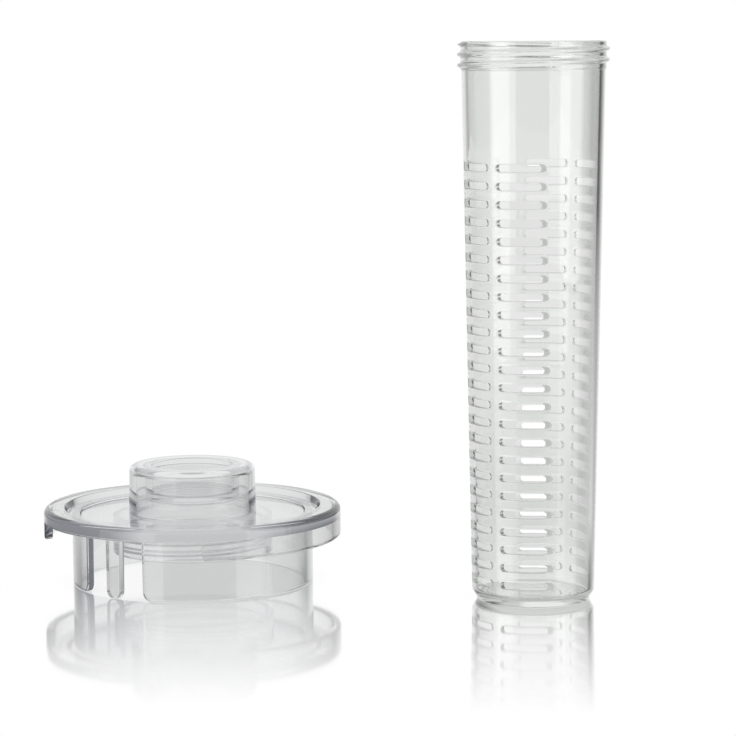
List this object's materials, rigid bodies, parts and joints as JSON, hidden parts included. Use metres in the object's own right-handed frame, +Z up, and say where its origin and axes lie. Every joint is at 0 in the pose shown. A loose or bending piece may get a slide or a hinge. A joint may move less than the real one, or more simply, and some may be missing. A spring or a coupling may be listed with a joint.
{
  "type": "fruit infuser pitcher lid and infuser",
  "caption": "Clear round pitcher lid with a recessed knob, strainer skirt and threaded collar, standing beside its tall slotted screw-in infuser tube.",
  "frame": {"origin": "under the middle of the pair, on the surface that the lid and the infuser stand on", "axes": "+X from the lid to the infuser, +Y away from the picture's viewer, +Z up along both pieces' axes"},
  "size_m": [0.2514, 0.145, 0.242],
  "materials": {
    "infuser_plastic": "clear moulded acrylic with a faint green-grey cast, polished",
    "lid_plastic": "clear moulded acrylic, neutral, polished, with dark edges where light is trapped"
  },
  "bodies": {
    "infuser": {"infuser_tube": "infuser_plastic"},
    "lid": {"lid_cover": "lid_plastic", "strainer_skirt": "lid_plastic", "infuser_collar": "lid_plastic", "lid_knob": "lid_plastic"}
  },
  "joints": [
    {"name": "lid_lift", "type": "slide", "parent": "infuser", "child": "lid", "axis": [0, 0, 1], "range_m": [0, 0.25]}
  ]
}
